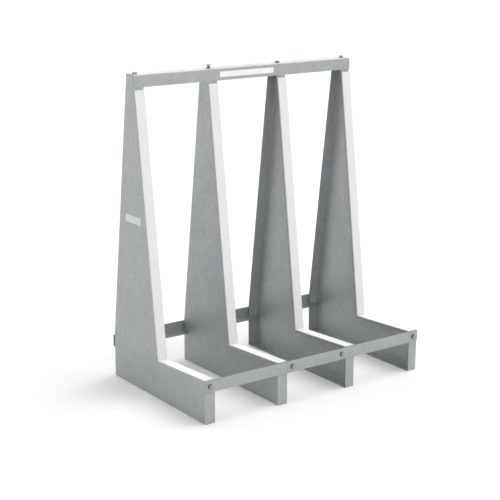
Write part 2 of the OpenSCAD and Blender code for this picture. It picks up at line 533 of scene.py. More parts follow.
class Effect(Tree):
    """Tree of a node group for a surface effect, whose features have a size that its user gives."""

    def __init__(self, name: str, size: str, usual_size: float, outputs: Sequence[str]) -> None:
        """Starts the group with a vector and a named size as inputs."""
        inputs = [Socket("Vector", VECTOR), Socket(size, value=usual_size)]
        super().__init__(open_group(name, "ShaderNodeTree", inputs, [Socket(label) for label in outputs]))
        given = self.node("NodeGroupInput").outputs
        self.given_vector = given["Vector"]
        self.place = self.vector("SCALE", given["Vector"], self.calculate("DIVIDE", 1.0, given[size]))

    def close(self, results: dict[str, NodeSocket]) -> NodeTree:
        """Ends the tree with its results, and returns it."""
        self.node("NodeGroupOutput", results)
        return self.tree


class Effects:
    """Surface effects that several materials share, each one a node group built once."""

    CRYSTAL_SIZE = 0.014
    WARPING = Noise(1.3, 3.0)
    WARP = 0.7
    FEATHERS = Noise(1.6, 4.0, 0.6)
    FEATHER_STRETCH = (1.0, 9.0, 1.0)
    TONE_SHARE = 0.5
    GLOSS_SHARE = 0.6
    PATCH_SIZE = 0.12
    PATCHES = Noise(1.0, 5.0, 0.55)
    SMUDGE_RANGE = (0.38, 0.68)
    STREAKS = Noise(1.0, 1.0)
    SCRATCH_STRETCHES = ((900.0, 16.0, 25.0), (24.0, 700.0, 40.0))
    SCRATCH_RANGE = (0.70, 0.78)

    def __init__(self) -> None:
        """Builds the groups."""
        self.crystals = self.zinc_crystals()
        self.handling = self.handling_marks()

    def zinc_crystals(self) -> NodeTree:
        """Zinc crystals of random tone and gloss, each with feathering in its own direction."""
        tree = Effect("zinc_crystals", "Crystal Size", self.CRYSTAL_SIZE, ("Tone", "Gloss", "Height"))
        warp = tree.vector("SCALE", tree.noise(tree.place, self.WARPING, "Color"), self.WARP)
        feeds = {"Vector": tree.vector("ADD", tree.place, warp), "Scale": 1.0}
        cell = tree.node("ShaderNodeTexVoronoi", feeds, feature="F1").outputs["Color"]
        red, green, blue = tree.node("ShaderNodeSeparateColor", {0: cell}).outputs
        feeds = {"Vector": tree.place, "Axis": cell, "Angle": tree.times(blue, math.tau)}
        turned = tree.node("ShaderNodeVectorRotate", feeds, rotation_type="AXIS_ANGLE")
        feathers = tree.noise(tree.vector("MULTIPLY", turned, self.FEATHER_STRETCH), self.FEATHERS)
        results = {"Height": feathers}
        for name, random, share in (("Tone", red, self.TONE_SHARE), ("Gloss", green, self.GLOSS_SHARE)):
            feathered = tree.times(feathers, 1 - share)
            results[name] = tree.calculate("ADD", tree.times(random, share), feathered, clamp=True)
        return tree.close(results)

    def handling_marks(self) -> NodeTree:
        """Broad dull patches, and sparse fine scratches of two directions."""
        tree = Effect("handling_marks", "Patch Size", self.PATCH_SIZE, ("Smudges", "Scratches"))
        smudges = tree.spread(tree.noise(tree.place, self.PATCHES), self.SMUDGE_RANGE)
        lines = []
        for stretch in self.SCRATCH_STRETCHES:
            streaks = tree.noise(tree.vector("MULTIPLY", tree.given_vector, stretch), self.STREAKS)
            lines.append(tree.spread(streaks, self.SCRATCH_RANGE))
        return tree.close({"Smudges": smudges, "Scratches": tree.calculate("MAXIMUM", *lines)})


class Coat(Tree):
    """Tree of a material in the making, with its shader and the object's own coordinates."""

    def __init__(self, name: str) -> None:
        """Starts the material of a name."""
        self.material = bpy.data.materials.new(name)
        self.material.use_nodes = True
        super().__init__(self.material.node_tree)
        self.shader = self.tree.nodes["Principled BSDF"]
        self.place = self.node("ShaderNodeTexCoord").outputs["Object"]

    def dress(self, feeds: dict[str, Any]) -> None:
        """Feeds the shader's inputs by name."""
        for name, value in feeds.items():
            self.feed(self.shader.inputs[name], value)


@dataclass(frozen=True, kw_only=True)
class Finish(ABC):
    """A finish of the rack that handling has marked.

    Attributes:
        name: Name of the material.
        metal: Share of metal.
        gloss: Range of the roughness.
        patch_size: Size of the patches that handling leaves, in metres.
        relief: Strength of the bump.
        depth: Depth of the bump in metres.
    """

    name: str
    metal: float = 0.0
    gloss: Range
    patch_size: float
    relief: float
    depth: float

    @abstractmethod
    def paint(self, coat: Coat, effects: Effects, marks: Node) -> Paint:
        """Makes the nodes for the base colour, the roughness and the height of the bump."""

    def build(self, effects: Effects) -> Material:
        """Makes the material."""
        coat = Coat(self.name)
        marks = apply_group(coat, effects.handling, vector=coat.place, patch_size=self.patch_size)
        colour, roughness, height = self.paint(coat, effects, marks)
        feeds = {"Height": height, "Strength": self.relief, "Distance": self.depth}
        bump = coat.node("ShaderNodeBump", feeds)
        coat.dress({"Base Color": colour, "Roughness": roughness, "Normal": bump, "Metallic": self.metal})
        return coat.material


@dataclass(frozen=True, kw_only=True)
class GalvanisedSheet(Finish):
    """Zinc coated sheet steel with a faint spangle, dull patches and fine scratches."""

    name: str = "galvanised_steel"
    pale: Colour = (0.412, 0.434, 0.438)
    deep: Colour = (0.334, 0.356, 0.361)
    dull: Colour = (0.347, 0.351, 0.356)
    metal: float = 0.65
    gloss: Range = (0.46, 0.60)
    gloss_source: Range = (0.2, 0.8)
    crystal_size: float = 0.016
    patch_size: float = 0.16
    patch_share: float = 0.35
    patch_dulling: float = 0.06
    scratch_share: float = 0.25
    scratch_shine: float = 0.08
    grains: Noise = Noise(1400.0)
    grain_share: float = 0.5
    relief: float = 0.06
    depth: float = 0.0004

    def paint(self, coat: Coat, effects: Effects, marks: Node) -> Paint:
        """Crystals under dull patches and bright scratches."""
        crystals = apply_group(coat, effects.crystals, vector=coat.place, crystal_size=self.crystal_size)
        smudges, scratches = marks.outputs["Smudges"], marks.outputs["Scratches"]
        zinc = coat.blend_colours(crystals.outputs["Tone"], self.deep, self.pale)
        patched = coat.blend_colours(coat.times(smudges, self.patch_share), zinc, self.dull)
        colour = coat.blend_colours(coat.times(scratches, self.scratch_share), patched, self.pale)
        gloss = coat.spread(crystals.outputs["Gloss"], self.gloss_source, self.gloss)
        worn = coat.calculate("ADD", gloss, coat.times(smudges, self.patch_dulling))
        roughness = coat.calculate("SUBTRACT", worn, coat.times(scratches, self.scratch_shine))
        grain = coat.times(coat.noise(coat.place, self.grains), self.grain_share)
        return colour, roughness, coat.calculate("ADD", crystals.outputs["Height"], grain)


@dataclass(frozen=True, kw_only=True)
class CutEdge(Finish):
    """Sheared or laser cut edge of the sheet: bare steel with a speckled, duller face, darkened in part as
    painted shade.
    """

    name: str = "cut_sheet_edge"
    # Partly painted shade: the dark tone also stands in for the shade in the gap where a rail's end meets a
    # web.
    bright: Colour = (0.32, 0.32, 0.32)
    dark: Colour = (0.14, 0.137, 0.134)
    metal: float = 1.0
    gloss: Range = (0.42, 0.62)
    gloss_source: Range = (0.2, 0.8)
    specks: Noise = Noise(1800.0, 3.0, 0.6)
    speck_source: Range = (0.35, 0.65)
    patch_size: float = 0.03
    patch_share: float = 0.6
    relief: float = 0.15
    depth: float = 0.0003

    def paint(self, coat: Coat, effects: Effects, marks: Node) -> Paint:
        """Specks and patches of dark on bright steel."""
        specks = coat.noise(coat.place, self.specks)
        patches = coat.times(marks.outputs["Smudges"], self.patch_share)
        share = coat.calculate("MAXIMUM", coat.spread(specks, self.speck_source), patches)
        colour = coat.blend_colours(share, self.bright, self.dark)
        return colour, coat.spread(specks, self.gloss_source, self.gloss), specks


@dataclass(frozen=True, kw_only=True)
class WhitePlastic(Finish):
    """Extruded white plastic with fine lines along its run, and grey rubs where boards slide."""

    run: Run
    clean: Colour = (0.94, 0.94, 0.935)
    shaded: Colour = (0.90, 0.90, 0.90)
    rubbed: Colour = (0.70, 0.70, 0.695)
    gloss: Range = (0.36, 0.5)
    gloss_source: Range = (0.25, 0.75)
    lines: Noise = Noise(900.0, 3.0, 0.6)
    line_source: Range = (0.3, 0.7)
    rubs: Noise = Noise(160.0, 4.0, 0.7)
    rub_source: Range = (0.56, 0.8)
    rub_share: float = 0.35
    patch_size: float = 0.09
    glow: float = 0.08
    glow_depth: float = 0.004
    relief: float = 0.08
    depth: float = 0.0003

    def paint(self, coat: Coat, effects: Effects, marks: Node) -> Paint:
        """Fine lines under grey rubs, on a body that light enters a little."""
        drawn = coat.vector("MULTIPLY", coat.place, self.run.value)
        lines = coat.noise(drawn, self.lines)
        body = coat.blend_colours(coat.spread(lines, self.line_source), self.clean, self.shaded)
        streaks = coat.times(coat.spread(coat.noise(drawn, self.rubs), self.rub_source), self.rub_share)
        colour = coat.blend_colours(coat.times(streaks, marks.outputs["Smudges"]), body, self.rubbed)
        coat.dress({"Subsurface Weight": self.glow, "Subsurface Radius": (self.glow_depth,) * 3})
        return colour, coat.spread(lines, self.gloss_source, self.gloss), lines


@dataclass(frozen=True, kw_only=True)
class FastenerSteel(Finish):
    """Plated fastener steel, blotched, with brighter rubbed spots."""

    plated: Colour
    blotched: Colour
    rubbed: Colour
    metal: float = 1.0
    gloss: Range = (0.44, 0.32)
    patch_size: float = 0.008
    rubs: Noise = Noise(260.0, 4.0, 0.65)
    rub_source: Range = (0.58, 0.72)
    rub_share: float = 0.7
    grains: Noise = Noise(2200.0)
    relief: float = 0.12
    depth: float = 0.0002

    def paint(self, coat: Coat, effects: Effects, marks: Node) -> Paint:
        """Blotches of plating, rubbed bright in spots."""
        blotches = coat.blend_colours(marks.outputs["Smudges"], self.plated, self.blotched)
        rubs = coat.spread(coat.noise(coat.place, self.rubs), self.rub_source)
        colour = coat.blend_colours(coat.times(rubs, self.rub_share), blotches, self.rubbed)
        return colour, coat.spread(rubs, (0.0, 1.0), self.gloss), coat.noise(coat.place, self.grains)


@dataclass(frozen=True, kw_only=True)
class LabelFilm(Finish):
    """Satin film of a bare label, faintly mottled and soiled."""

    clean: Colour
    soiled: Colour
    gloss: Range = (0.34, 0.5)
    patch_size: float = 0.035
    soil_share: float = 0.22
    weave: Noise = Noise(1600.0)
    relief: float = 0.05
    depth: float = 0.0002

    def paint(self, coat: Coat, effects: Effects, marks: Node) -> Paint:
        """Faint soil on a fine weave."""
        smudges = marks.outputs["Smudges"]
        soil = coat.times(coat.calculate("ADD", smudges, marks.outputs["Scratches"]), self.soil_share)
        colour = coat.blend_colours(soil, self.clean, self.soiled)
        return colour, coat.spread(smudges, (0.0, 1.0), self.gloss), coat.noise(coat.place, self.weave)


class Finishes:
    """All materials of the rack, each one built once."""

    def __init__(self) -> None:
        """Builds the effects and the materials."""
        effects = Effects()
        self.sheet = GalvanisedSheet().build(effects)
        self.cut_edge_and_shade = CutEdge().build(effects)
        # Painted shade: the liners' side walls, rounded edges and ends take these darker greys.
        painted_side_shade = {"clean": (0.46, 0.46, 0.455), "shaded": (0.36, 0.36, 0.355), "rubbed": (0.30, 0.30, 0.295)}
        # Painted shade: the uprights' liners are the feet's white plastic made greyer, for the lesser light on
        # their upright faces.
        upright_painted_shade = {"clean": (0.79, 0.79, 0.785), "shaded": (0.755, 0.755, 0.755), "rubbed": (0.60, 0.60, 0.595)}
        self.upright_plastic = WhitePlastic(name="upright_plastic", run=Run.UPRIGHT, **upright_painted_shade).build(effects)
        self.upright_side_shade = WhitePlastic(name="upright_plastic_sawn", run=Run.UPRIGHT, **painted_side_shade).build(effects)
        self.foot_plastic = WhitePlastic(name="foot_plastic", run=Run.ALONG_FOOT).build(effects)
        self.foot_side_shade = WhitePlastic(name="foot_plastic_sawn", run=Run.ALONG_FOOT, **painted_side_shade).build(effects)
        light = {"plated": (0.36, 0.36, 0.355), "blotched": (0.22, 0.217, 0.213), "rubbed": (0.52,) * 3}
        # Painted shade: this dark zinc on the washers and the threads stands in for the shade round the bolt
        # heads and in the thread grooves.
        dark = {"plated": (0.11, 0.11, 0.11), "blotched": (0.06, 0.058, 0.056), "rubbed": (0.22,) * 3}
        self.light_zinc = FastenerSteel(name="light_zinc", **light).build(effects)
        self.dark_zinc = FastenerSteel(name="dark_zinc", **dark).build(effects)
        strip = {"clean": (0.91, 0.91, 0.91), "soiled": (0.76, 0.76, 0.75)}
        sticker = {"clean": (0.69, 0.69, 0.69), "soiled": (0.56, 0.56, 0.55)}
        self.strip_film = LabelFilm(name="strip_film", **strip).build(effects)
        self.sticker_film = LabelFilm(name="sticker_film", **sticker).build(effects)


@dataclass
class FoldedFrame:
    """One side frame: a web cut to the outline, with a flange bent up along every edge."""

    node: str
    web: float
    side: Side
    is_end: bool
    sizes: RackSizes
    points: list[Vector] = field(default_factory=list)
    faces: list[tuple[int, ...]] = field(default_factory=list)
    cuts: list[int] = field(default_factory=list)

    def x_at(self, across: float) -> float:
        """X at a distance from the web's outer face, on the flanges' side of it."""
        return self.web + self.side.value * across

    def place(self, spot: Vector, across: float) -> int:
        """Adds a corner at a spot of the side view and a distance from the web, and returns its number."""
        self.points.append(Vector((self.x_at(across), spot.x, spot.y)))
        return len(self.points) - 1

    def face(self, corners: Sequence[int], is_cut: bool = False) -> None:
        """Adds a face, marked where it is a cut edge of the sheet."""
        if is_cut:
            self.cuts.append(len(self.faces))
        self.faces.append(tuple(corners))

    def mitres(self) -> list[Vector]:
        """How far each corner of the outline moves for each metre that the outline is drawn in."""
        spots = self.sizes.outline()
        normals = []
        for number, spot in enumerate(spots):
            along = (spots[(number + 1) % len(spots)] - spot).normalized()
            normals.append(Vector((-along.y, along.x)))
        return [
            (normals[number - 1] + normal) / (1 + normals[number - 1].dot(normal))
            for number, normal in enumerate(normals)
        ]

    def skin(self, thickness: float) -> Profile:
        """Path of one skin of a flange from the web over the bend to the free edge, as (inward, across)."""
        fold = self.sizes.fold
        bend = arc((fold, fold), fold - thickness, 270, 180)
        return [*bend, (thickness, self.sizes.frame_width)]

    def flange(self, number: int, mitres: list[Vector]) -> dict[str, list[int]]:
        """Adds the flange along one edge of the outline.

        Args:
            number: Number of the edge.
            mitres: Drift of the outline's corners.

        Returns:
            Corner numbers of its two skins at its start and at its stop, from the web outwards.
        """
        spots = self.sizes.outline()
        after = (number + 1) % len(spots)
        step = (spots[after] - spots[number]).normalized() * self.sizes.corner_gap
        rows: dict[str, list[int]] = {}
        for skin, thickness in (("outer", 0.0), ("inner", self.sizes.sheet)):
            path = self.skin(thickness)
            start = [self.place(spots[number] + mitres[number] * u + step, w) for u, w in path]
            stop = [self.place(spots[after] + mitres[after] * u - step, w) for u, w in path]
            rows[skin + "_start"], rows[skin + "_stop"] = start, stop
            for first in range(len(path) - 1):
                self.face((start[first], stop[first], stop[first + 1], start[first + 1]))
        self.face([rows[key][-1] for key in ("outer_start", "outer_stop", "inner_stop", "inner_start")], True)
        for end in ("start", "stop"):
            self.face([*rows["outer_" + end], *reversed(rows["inner_" + end])], True)
        return rows

    def sheet_body(self) -> Piece:
        """Web and flanges as one closed mesh."""
        spots = self.sizes.outline()
        mitres = self.mitres()
        flanges = [self.flange(number, mitres) for number in range(len(spots))]
        corners = [spot + mitre * self.sizes.fold for spot, mitre in zip(spots, mitres)]
        outer = [self.place(corner, 0.0) for corner in corners]
        inner = [self.place(corner, self.sizes.sheet) for corner in corners]
        for skin, ring in (("outer", outer), ("inner", inner)):
            loop = []
            for number, rows in enumerate(flanges):
                loop += [ring[number], rows[skin + "_start"][0], rows[skin + "_stop"][0]]
            self.face(loop)
        for number, rows in enumerate(flanges):
            before = flanges[number - 1]
            self.face((before["outer_stop"][0], outer[number], inner[number], before["inner_stop"][0]), True)
            self.face((outer[number], rows["outer_start"][0], rows["inner_start"][0], inner[number]), True)
        return mesh_piece(self.node + "_folded", self.points, self.faces, self.cuts)

    def ear(self) -> Piece:
        """Ear on the front flange's free edge, which takes the front rail's bolt."""
        sizes = self.sizes
        middle = sizes.front_bolt_height
        headroom = sizes.sheet / 2
        half = sizes.foot_front_height - sizes.sheet - headroom - middle
        radius = half / 2
        tip = sizes.frame_width + sizes.ear_bolt_reach + sizes.washer
        profile = tongue(sizes.frame_width - radius, tip, middle - half, middle + half, radius)
        start = (self.web, sizes.front_y, 0.0)
        stop = (self.web, sizes.front_y + sizes.sheet, 0.0)
        return prism("ear", profile, start, stop, RIGHT * self.side.value)

    def cutters(self) -> list[Piece]:
        """Slots for the rails' lying legs and holes for the bolts."""
        sizes = self.sizes
        near = sizes.sheet + sizes.slot_play if self.is_end else -CUT_OVERRUN
        near_x, far_x = self.x_at(near), self.x_at(sizes.frame_width + CUT_OVERRUN)
        back_leg = sizes.rail_leg - sizes.back_rail_gap - sizes.sheet + sizes.slot_play
        front_leg = sizes.rail_leg - sizes.sheet + sizes.slot_play
        back_top = sizes.back_rail_height + sizes.sheet + sizes.slot_play
        front_top = sizes.front_rail_height + sizes.fold + sizes.slot_play
        half = sizes.frame_width / 2
        reach = half if self.is_end else sizes.frame_width + sizes.ear_bolt_reach
        rear, front = sizes.rear_y, sizes.front_y
        back_low, front_low = sizes.back_rail_height, sizes.front_rail_height
        return [
            box_cutter((near_x, rear - back_leg, back_low), (far_x, rear + CUT_OVERRUN, back_top)),
            box_cutter((near_x, front - CUT_OVERRUN, front_low), (far_x, front + front_leg, front_top)),
            *bolt_holes([(self.x_at(half), sizes.top_bolt_y, sizes.height)], UP, sizes),
            *bolt_holes([(self.x_at(reach), front, sizes.front_bolt_height)], REARWARD, sizes),
        ]

    def build(self, finishes: Finishes, recesses: Sequence[Piece]) -> None:
        """Builds and dresses the frame, with shallow recesses for its labels."""
        body = self.sheet_body()
        if not self.is_end:
            body = combine(body, [self.ear()], "UNION")
        body = combine(body, self.cutters(), "DIFFERENCE")
        eased = ease_edges(body, EDGE_EASE, recesses)
        settle(eased, (finishes.sheet, finishes.cut_edge_and_shade), (self.node,))


@dataclass
class SideFrames:
    """The four side frames, the right pair a mirror image of the left pair."""

    sizes: RackSizes
    labels: "BareLabels"

    def build(self, finishes: Finishes) -> None:
        """Builds and dresses the four frames."""
        names = ("end_frame_left", "inner_frame_left", "inner_frame_right", "end_frame_right")
        for number, name in enumerate(names):
            is_left = number < 2
            web = self.sizes.web_x[number] + (0.0 if is_left else self.sizes.frame_width)
            side = Side.TO_THE_RIGHT if is_left else Side.TO_THE_LEFT
            recesses = [self.labels.sticker_recess()] if number == 0 else []
            FoldedFrame(name, web, side, number in (0, 3), self.sizes).build(finishes, recesses)


@dataclass
class Liners:
    """The white liners on the uprights' fronts and on the feet, their sides, rounded edges and ends in painted
    shade.
    """

    sizes: RackSizes
    side_shade_steps: int = 5

    def profile(self) -> Profile:
        """Section of a liner, flat on its flange, its two outer edges rounded."""
        sizes = self.sizes
        return tongue(0.0, sizes.liner, 0.0, sizes.frame_width, sizes.liner_edge_radius)

    def strip(self, name: str, left: float, start: Vector, stop: Vector) -> Piece:
        """One liner from a point of the side view to another, thick to the right of that direction."""
        along = (stop - start).normalized()
        out = Vector((0, along.y, -along.x))
        ends = [(left, spot.x, spot.y) for spot in (start, stop)]
        profile = self.profile()
        strip = prism(name, profile, *ends, out, RIGHT)
        # Painted shade: the side walls and the outer half of each rounded edge take the darker second
        # material.
        for number in range(self.side_shade_steps):
            for side in (number, len(profile) - 2 - number):
                strip.data.polygons[side].material_index = 1
        return ease_edges(strip, 2 * EDGE_EASE)

    def build(self, finishes: Finishes) -> None:
        """Builds and dresses the eight liners."""
        sizes = self.sizes
        spots = sizes.outline()
        land, root, toe = spots[5], spots[6], spots[7]
        down = (root - land).normalized()
        forward = (toe - root).normalized()
        for number, left in enumerate(sizes.web_x, 1):
            top = land + down * sizes.liner_bare
            bottom = root - down * (sizes.liner + sizes.liner_seat_gap)
            gap = forward * sizes.liner_end_gap
            for node, start, stop, looks in (
                (f"upright_liner_{number}", top, bottom, (finishes.upright_plastic, finishes.upright_side_shade)),
                (f"foot_liner_{number}", root + gap, toe - gap, (finishes.foot_plastic, finishes.foot_side_shade)),
            ):
                settle(self.strip(node + "_strip", left, start, stop), looks, (node,))


@dataclass
class Rail:
    """A folded angle along the whole rack, with bolt holes and notched ends."""

    node: str
    corner_y: float
    corner_z: float
    lying: float
    upright: float
    sizes: RackSizes

    def profile(self) -> Profile:
        """Section of the angle, the outside of its bend at the origin, as (rearward, up)."""
        fold, sheet = self.sizes.fold, self.sizes.sheet
        outer = arc((fold, fold), fold, 180, 270)
        inner = arc((fold, fold), fold - sheet, 270, 180)
        path = [
            (0.0, abs(self.upright)), *outer, (abs(self.lying), 0.0),
            (abs(self.lying), sheet), *inner, (sheet, abs(self.upright)),
        ]
        lying, upright = math.copysign(1.0, self.lying), math.copysign(1.0, self.upright)
        return [(a * lying, b * upright) for a, b in path]

    def bar(self) -> Piece:
        """The plain angle."""
        reach = self.sizes.length / 2
        ends = [(x, self.corner_y, self.corner_z) for x in (-reach, reach)]
        profile = self.profile()
        bar = prism(self.node + "_angle", profile, *ends, REARWARD)
        # The legs' free edges are the sides halfway round the profile and at its end.
        for number in (len(profile) // 2 - 1, len(profile) - 1):
            bar.data.polygons[number].material_index = 1
        return bar

    def build(self, finishes: Finishes, cutters: list[Piece]) -> None:
        """Builds and dresses the rail, less what the cutters take away."""
        bar = combine(self.bar(), cutters, "DIFFERENCE")
        settle(ease_edges(bar), (finishes.sheet, finishes.cut_edge_and_shade), (self.node,))


@dataclass
class Rails:
    """Top, front and back rail."""

    sizes: RackSizes

    def end_notches(self, near: float, far: float, height: float) -> list[Piece]:
        """Cutters that keep a lying leg inside the end frames' webs, between two values of Y."""
        sizes = self.sizes
        reach = sizes.length / 2
        depth = sizes.sheet + 2 * sizes.slot_play
        low, high = height - CUT_OVERRUN, height + sizes.fold + CUT_OVERRUN
        return [
            box_cutter((side * (reach - depth), near, low), (side * (reach + CUT_OVERRUN), far, high))
            for side in (-1, 1)
        ]

    def build(self, finishes: Finishes) -> None:
        """Builds and dresses the three rails."""
        sizes = self.sizes
        top_z, front_y = sizes.top_rail_top, sizes.front_rail_front
        lying = sizes.upright_top_depth + sizes.sheet
        top = Rail("top_rail", sizes.top_rail_front, top_z, lying, -sizes.rail_lip, sizes)
        spots = [(x, sizes.top_bolt_y, top_z) for x in sizes.top_bolt_x]
        top.build(finishes, bolt_holes(spots, UP, sizes))
        front = Rail("front_rail", front_y, sizes.front_rail_height, sizes.rail_leg, sizes.rail_lip, sizes)
        spots = [(x, front_y, sizes.front_bolt_height) for x in sizes.front_bolt_x]
        holes = bolt_holes(spots, REARWARD, sizes)
        notches = self.end_notches(sizes.front_y, sizes.front_y + sizes.rail_leg, sizes.front_rail_height)
        front.build(finishes, holes + notches)
        back_y = sizes.rear_y + sizes.back_rail_gap + sizes.sheet
        back = Rail("back_rail", back_y, sizes.back_rail_height, -sizes.rail_leg, sizes.rail_lip, sizes)
        near, far = back_y - sizes.rail_leg - CUT_OVERRUN, sizes.rear_y + sizes.slot_play
        back.build(finishes, self.end_notches(near, far, sizes.back_rail_height))


class Fastener(Enum):
    """Kinds of fastener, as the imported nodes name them."""

    BOLT = "bolts"
    WASHER = "washers"
    NUT = "nuts"


class RowTree(Tree):
    """Geometry Nodes tree that puts one shape of fastener on every point of a row.

    Every fastener is made along +Z with its seat at z = 0, and the finished row is turned as a whole.
    """

    SIDES = 48
    SEED = 7
    PITCH = 0.00175
    CHAMFER_SHARE = 0.95
    CHAMFER_SLOPE = math.radians(30)
    RIM_STEPS = 3
    THREAD_MARK = "is_threaded"

    def __init__(self, name: str, lengths: dict[str, float]) -> None:
        """Starts the tree with the row's common inputs and named lengths."""
        inputs = [Socket("Seats", GEOMETRY)]
        inputs += [Socket(label, value=value, subtype="DISTANCE") for label, value in lengths.items()]
        inputs += [Socket("Turn", VECTOR), Socket("Finish", MATERIAL), Socket("Thread Finish", MATERIAL)]
        super().__init__(open_group(name, "GeometryNodeTree", inputs, [Socket("Row", GEOMETRY)]))
        self.given = self.node("NodeGroupInput").outputs
        self.lengths = [self.given[label] for label in lengths]

    def close(self, shape: Any) -> NodeTree:
        """Puts the shape on every seat at a random turn, turns the row, and ends the tree."""
        given = self.given
        feeds = {0: (0.0, 0.0, 0.0), 1: (0.0, 0.0, math.pi / 3), "Seed": self.SEED}
        spin = self.node("FunctionNodeRandomValue", feeds, data_type="FLOAT_VECTOR")
        turn = self.node("FunctionNodeEulerToRotation", {0: spin})
        feeds = {"Points": given["Seats"], "Instance": shape, "Rotation": turn}
        row = self.node("GeometryNodeInstanceOnPoints", feeds)
        whole = self.node("GeometryNodeRealizeInstances", {0: row})
        placed = self.node("GeometryNodeTransform", {"Geometry": whole, "Rotation": given["Turn"]})
        feeds = {"Name": self.THREAD_MARK}
        threaded = self.node("GeometryNodeInputNamedAttribute", feeds, data_type="BOOLEAN")
        dressed = self.node("GeometryNodeSetMaterial", {"Geometry": placed, "Material": given["Finish"]})
        feeds = {"Geometry": dressed, "Selection": threaded, "Material": given["Thread Finish"]}
        self.node("NodeGroupOutput", {0: self.node("GeometryNodeSetMaterial", feeds)})
        return self.tree

    def move(self, shape: Any, height: Any) -> Node:
        """Shape moved up by a height."""
        shift = self.node("ShaderNodeCombineXYZ", {2: height})
        return self.node("GeometryNodeTransform", {"Geometry": shape, "Translation": shift})

    def rod(self, diameter: Any, length: Any, sides: int = SIDES) -> Node:
        """Upright rod that stands on z = 0."""
        feeds = {"Vertices": sides, "Radius": self.times(diameter, 0.5), "Depth": length}
        return self.move(self.node("GeometryNodeMeshCylinder", feeds), self.times(length, 0.5))

    def join(self, *parts: Any) -> Node:
        """Parts joined into one geometry."""
        joined = self.node("GeometryNodeJoinGeometry")
        for part in parts:
            self.feed(joined.inputs[0], part)
        return joined

    def hexagon(self, flats: Any, height: Any, both_ends: bool) -> NodeSocket:
        """Hexagon on z = 0 with its corners turned down at 30 degrees, at the top or at both ends."""
        across = self.calculate("DIVIDE", flats, math.cos(math.pi / 6))
        shape = self.rod(across, height, 6).outputs[0]
        rim = self.times(flats, self.CHAMFER_SHARE / 2)
        spread = self.calculate("ADD", rim, self.calculate("DIVIDE", height, math.tan(self.CHAMFER_SLOPE)))
        ends = [("Radius Top", "Radius Bottom"), ("Radius Bottom", "Radius Top")]
        for narrow, broad in ends if both_ends else ends[:1]:
            feeds = {"Vertices": self.SIDES, narrow: rim, broad: spread, "Depth": height}
            cone = self.node("GeometryNodeMeshCone", feeds)
            both = self.node("GeometryNodeMeshBoolean", operation="INTERSECT", solver="EXACT")
            for part in (shape, cone):
                self.feed(both.inputs[1], part)
            shape = both.outputs[0]
        return shape

    def thread(self, diameter: Any, length: Any) -> Node:
        """Helical ridge round a shank that stands on z = 0, half a pitch clear of both ends."""
        ridge_radius = self.PITCH / 2
        mean = self.calculate("SUBTRACT", self.times(diameter, 0.5), ridge_radius)
        rise = self.calculate("SUBTRACT", length, self.PITCH)
        feeds = {"Resolution": self.SIDES // 2, "Rotations": self.calculate("DIVIDE", rise, self.PITCH)}
        feeds |= {"Start Radius": mean, "End Radius": mean, "Height": rise}
        helix = self.node("GeometryNodeCurveSpiral", feeds)
        ridge = self.node("GeometryNodeCurvePrimitiveCircle", {"Resolution": 4, "Radius": ridge_radius})
        feeds = {"Curve": helix, "Profile Curve": ridge, "Fill Caps": True}
        return self.move(self.node("GeometryNodeCurveToMesh", feeds), ridge_radius)

    def shank(self, diameter: Any, length: Any) -> Node:
        """Threaded shank that hangs from z = 0, its faces marked as threaded."""
        core = self.rod(self.calculate("SUBTRACT", diameter, self.PITCH), length)
        shank = self.move(self.join(core, self.thread(diameter, length)), self.times(length, -1.0))
        feeds = {"Geometry": shank, "Name": self.THREAD_MARK, "Value": True}
        return self.node("GeometryNodeStoreNamedAttribute", feeds, data_type="BOOLEAN", domain="FACE")

    def ring(self, outside: Any, hole: Any, thickness: Any) -> Node:
        """Flat ring with rounded rims on z = 0."""
        mean = self.times(self.calculate("ADD", outside, hole), 0.25)
        width = self.times(self.calculate("SUBTRACT", outside, hole), 0.5)
        path = self.node("GeometryNodeCurvePrimitiveCircle", {"Resolution": self.SIDES, "Radius": mean})
        section = self.node("GeometryNodeCurvePrimitiveQuadrilateral", {"Width": width, "Height": thickness})
        feeds = {"Curve": section, "Radius": EDGE_EASE, "Count": self.RIM_STEPS}
        rounded = self.node("GeometryNodeFilletCurve", feeds, mode="POLY")
        ring = self.node("GeometryNodeCurveToMesh", {"Curve": path, "Profile Curve": rounded})
        return self.move(ring, self.times(thickness, 0.5))

    def bore(self, body: Any, hole: Any, height: Any) -> Node:
        """Body that stands on z = 0, with a hole right through it."""
        drill = self.move(self.rod(hole, self.times(height, 3.0)), self.times(height, -1.0))
        feeds = {0: body, 1: drill}
        return self.node("GeometryNodeMeshBoolean", feeds, operation="DIFFERENCE", solver="EXACT")


def bolt_tree(sizes: RackSizes) -> NodeTree:
    """Tree of a row of bolts: a hexagon head, and a threaded shank below it."""
    shank = 2 * sizes.sheet + 2 * sizes.washer_thickness + sizes.nut + sizes.bolt_tail
    lengths = {"Across Flats": sizes.hex_flats, "Head Height": sizes.bolt_head}
    lengths |= {"Shank Diameter": sizes.bolt, "Shank Length": shank}
    tree = RowTree("hex_bolt_row", lengths)
    flats, height, diameter, length = tree.lengths
    return tree.close(tree.join(tree.hexagon(flats, height, False), tree.shank(diameter, length)))


def washer_tree(sizes: RackSizes) -> NodeTree:
    """Tree of a row of plain washers."""
    lengths = {"Outside": sizes.washer, "Hole": sizes.bolt_hole, "Thickness": sizes.washer_thickness}
    tree = RowTree("plain_washer_row", lengths)
    return tree.close(tree.ring(*tree.lengths))


def nut_tree(sizes: RackSizes) -> NodeTree:
    """Tree of a row of hexagon nuts, turned down at both faces."""
    tree = RowTree("hex_nut_row", {"Across Flats": sizes.hex_flats, "Height": sizes.nut, "Hole": sizes.bolt})
    flats, height, hole = tree.lengths
    return tree.close(tree.bore(tree.hexagon(flats, height, True), hole, height))


